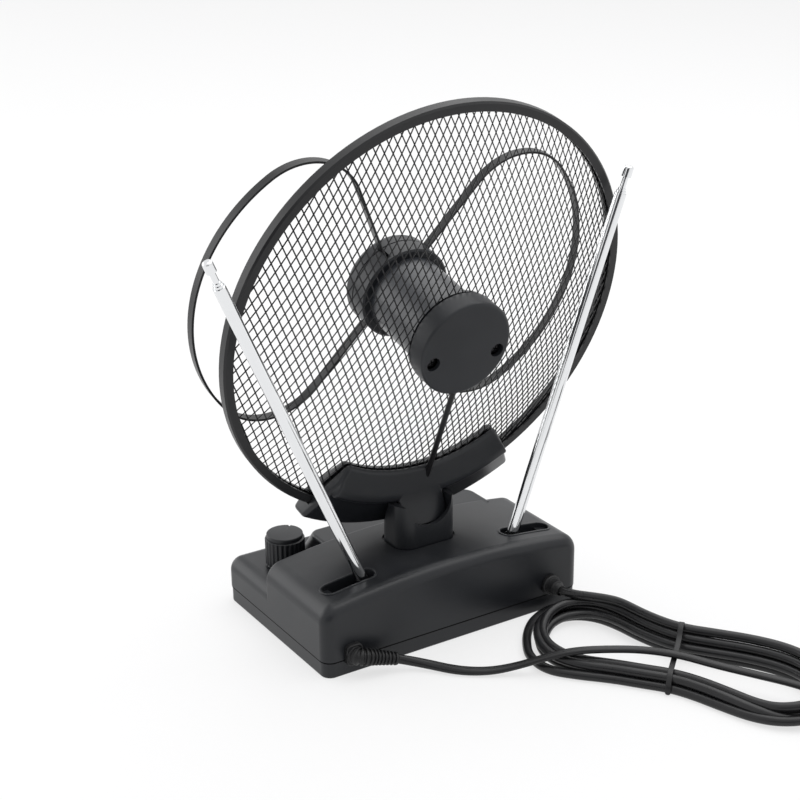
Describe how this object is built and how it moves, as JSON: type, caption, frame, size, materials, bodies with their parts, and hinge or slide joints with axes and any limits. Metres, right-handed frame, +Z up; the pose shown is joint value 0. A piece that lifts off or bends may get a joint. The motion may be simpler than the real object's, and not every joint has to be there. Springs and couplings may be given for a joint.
{
  "type": "indoor tv antenna",
  "caption": "Indoor set-top television antenna: mesh dish with wire loops on a tilting cradle, telescopic chrome rods, gain knob, amplifier base and tied leads.",
  "frame": {"origin": "on the floor, at the middle of the base tray's flat underside", "axes": "+Z up, -Y towards the knob side and the front of the dish, +Y towards the rear wall where the leads leave, +X towards the knob"},
  "size_m": [0.379, 0.3425, 0.3044],
  "materials": {
    "black_plastic": "satin moulded",
    "black_paint": "semi-gloss coating",
    "chrome": "polished plating",
    "steel": "zinc plated",
    "core_iron": "varnished laminations",
    "board": "solder mask",
    "foot_rubber": "matte",
    "flex": "smooth jacket",
    "plug_plastic": "moulded",
    "tie": "coated wire tie"
  },
  "bodies": {
    "base": {"base_cover": "black_plastic", "base_tray": "black_plastic", "foot_rear_left": "foot_rubber", "foot_rear_right": "foot_rubber", "foot_front_left": "foot_rubber", "foot_front_right": "foot_rubber", "tray_screw_rear_left": "steel", "tray_screw_rear_right": "steel", "tray_screw_front_left": "steel", "tray_screw_front_right": "steel", "amplifier_board": "board", "mains_transformer": "core_iron", "gain_pot": "steel", "mains_boot": "flex", "coax_gland": "flex", "neck_post": "black_plastic", "neck_nut": "black_plastic", "tilt_pin": "steel", "rod_well_left": "black_plastic", "rod_well_right": "black_plastic", "rod_pin_left": "steel", "rod_pin_right": "steel", "mains_cord": "flex", "mains_coil": "flex", "mains_tail": "flex", "mains_plug": "plug_plastic", "mains_tie": "tie", "coax_cord": "flex", "coax_hank": "flex", "coax_tail": "flex", "coax_plug": "plug_plastic", "hank_tie": "tie"},
    "knob": {"gain_knob": "black_plastic", "knob_shaft": "steel"},
    "dish": {"cradle": "black_plastic", "rim_ring": "black_paint", "mesh_reflector": "black_paint", "hub_cap": "black_plastic", "cap_screw_left": "steel", "cap_screw_right": "steel", "hub_tube": "black_plastic", "drum_rear": "black_plastic", "drum_front": "black_plastic", "balun_board": "board", "loop_left": "black_paint", "loop_right": "black_paint", "feed_lead": "flex"},
    "rod_left": {"rod_knuckle_left": "chrome", "rod_outer_left": "chrome"},
    "second_left": {"rod_second_left": "chrome"},
    "third_left": {"rod_third_left": "chrome"},
    "inner_left": {"rod_inner_left": "chrome", "rod_tip_left": "chrome"},
    "rod_right": {"rod_knuckle_right": "chrome", "rod_outer_right": "chrome"},
    "second_right": {"rod_second_right": "chrome"},
    "third_right": {"rod_third_right": "chrome"},
    "inner_right": {"rod_inner_right": "chrome", "rod_tip_right": "chrome"}
  },
  "joints": [
    {"name": "knob_turn", "type": "hinge", "parent": "base", "child": "knob", "pos_m": [0.0613, -0.0287, 0.0288], "axis": [0, 0, 1], "range_deg": [-140, 140]},
    {"name": "dish_tilt", "type": "hinge", "parent": "base", "child": "dish", "pos_m": [0, 0.018, 0.062], "axis": [1, 0, 0], "range_deg": [0, 15]},
    {"name": "rod_pivot_left", "type": "hinge", "parent": "base", "child": "rod_left", "pos_m": [0.049, 0.039, 0.041], "axis": [0, 0.9962, -0.0872], "range_deg": [-13, 50]},
    {"name": "second_slide_left", "type": "slide", "parent": "rod_left", "child": "second_left", "axis": [0.4131, 0.0794, 0.9072], "range_m": [0, 0.165]},
    {"name": "third_slide_left", "type": "slide", "parent": "second_left", "child": "third_left", "axis": [0.4131, 0.0794, 0.9072], "range_m": [0, 0.165]},
    {"name": "inner_slide_left", "type": "slide", "parent": "third_left", "child": "inner_left", "axis": [0.4131, 0.0794, 0.9072], "range_m": [0, 0.165]},
    {"name": "rod_pivot_right", "type": "hinge", "parent": "base", "child": "rod_right", "pos_m": [-0.049, 0.039, 0.041], "axis": [0, -0.9962, 0.0872], "range_deg": [-5, 58]},
    {"name": "second_slide_right", "type": "slide", "parent": "rod_right", "child": "second_right", "axis": [-0.279, 0.0837, 0.9566], "range_m": [0, 0.165]},
    {"name": "third_slide_right", "type": "slide", "parent": "second_right", "child": "third_right", "axis": [-0.279, 0.0837, 0.9566], "range_m": [0, 0.165]},
    {"name": "inner_slide_right", "type": "slide", "parent": "third_right", "child": "inner_right", "axis": [-0.279, 0.0837, 0.9566], "range_m": [0, 0.165]}
  ]
}
